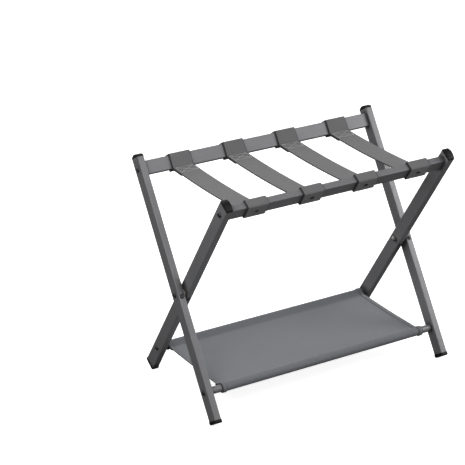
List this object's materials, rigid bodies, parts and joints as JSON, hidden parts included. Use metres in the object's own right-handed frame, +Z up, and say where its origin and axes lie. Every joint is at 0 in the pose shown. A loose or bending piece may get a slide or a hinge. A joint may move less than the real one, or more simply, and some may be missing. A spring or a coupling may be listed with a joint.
{
  "type": "folding luggage rack",
  "caption": "Folding luggage rack: two crossed rectangular-tube frames on a pivot, with webbing straps across the top and a fabric shelf below.",
  "frame": {"origin": "on the floor, midway between the feet", "axes": "+Z up; +X along the rails, to the right seen from the front; -Y is the front, where the inner frame's rail is"},
  "size_m": [0.6066, 0.3552, 0.5039],
  "materials": {
    "powder_coat": "satin grey powder coat with a fine texture",
    "black_plastic": "matte black moulded plastic",
    "natural_nylon": "undyed moulded nylon",
    "black_steel": "blackened steel, lightly oiled",
    "zinc_steel": "bright zinc plate",
    "webbing": "grey woven polypropylene webbing",
    "shelf_cloth": "grey woven polyester cloth"
  },
  "bodies": {
    "outer_frame": {"outer_leg_left": "powder_coat", "outer_leg_right": "powder_coat", "back_rail": "powder_coat", "front_bar": "powder_coat", "top_cap_outer_left": "black_plastic", "foot_cap_outer_left": "black_plastic", "bearing_block_outer_left": "natural_nylon", "block_screw_outer_left": "black_steel", "rail_plug_outer_left": "natural_nylon", "rail_bolt_outer_left": "black_steel", "bar_plug_outer_left": "natural_nylon", "bar_bolt_outer_left": "black_steel", "top_cap_outer_right": "black_plastic", "foot_cap_outer_right": "black_plastic", "bearing_block_outer_right": "natural_nylon", "block_screw_outer_right": "black_steel", "rail_plug_outer_right": "natural_nylon", "rail_bolt_outer_right": "black_steel", "bar_plug_outer_right": "natural_nylon", "bar_bolt_outer_right": "black_steel", "strap_screw_back_1": "black_steel", "strap_screw_back_2": "black_steel", "strap_screw_back_3": "black_steel", "strap_screw_back_4": "black_steel", "pivot_bolt_left": "black_steel", "pivot_nut_left": "zinc_steel", "pivot_spacer_left": "natural_nylon", "pivot_bolt_right": "black_steel", "pivot_nut_right": "zinc_steel", "pivot_spacer_right": "natural_nylon", "strap_1": "webbing", "strap_2": "webbing", "strap_3": "webbing", "strap_4": "webbing", "shelf": "shelf_cloth"},
    "inner_frame": {"inner_leg_left": "powder_coat", "inner_leg_right": "powder_coat", "front_rail": "powder_coat", "back_bar": "powder_coat", "top_cap_inner_left": "black_plastic", "foot_cap_inner_left": "black_plastic", "bearing_block_inner_left": "natural_nylon", "block_screw_inner_left": "black_steel", "rail_plug_inner_left": "natural_nylon", "rail_bolt_inner_left": "black_steel", "bar_plug_inner_left": "natural_nylon", "bar_bolt_inner_left": "black_steel", "top_cap_inner_right": "black_plastic", "foot_cap_inner_right": "black_plastic", "bearing_block_inner_right": "natural_nylon", "block_screw_inner_right": "black_steel", "rail_plug_inner_right": "natural_nylon", "rail_bolt_inner_right": "black_steel", "bar_plug_inner_right": "natural_nylon", "bar_bolt_inner_right": "black_steel", "strap_screw_front_1": "black_steel", "strap_screw_front_2": "black_steel", "strap_screw_front_3": "black_steel", "strap_screw_front_4": "black_steel"}
  },
  "joints": [
    {"name": "fold", "type": "hinge", "parent": "outer_frame", "child": "inner_frame", "pos_m": [0, 0, 0.24164], "axis": [-1, 0, 0], "range_deg": [0, 59.4], "deforming": ["strap_1", "strap_2", "strap_3", "strap_4", "shelf"]}
  ]
}
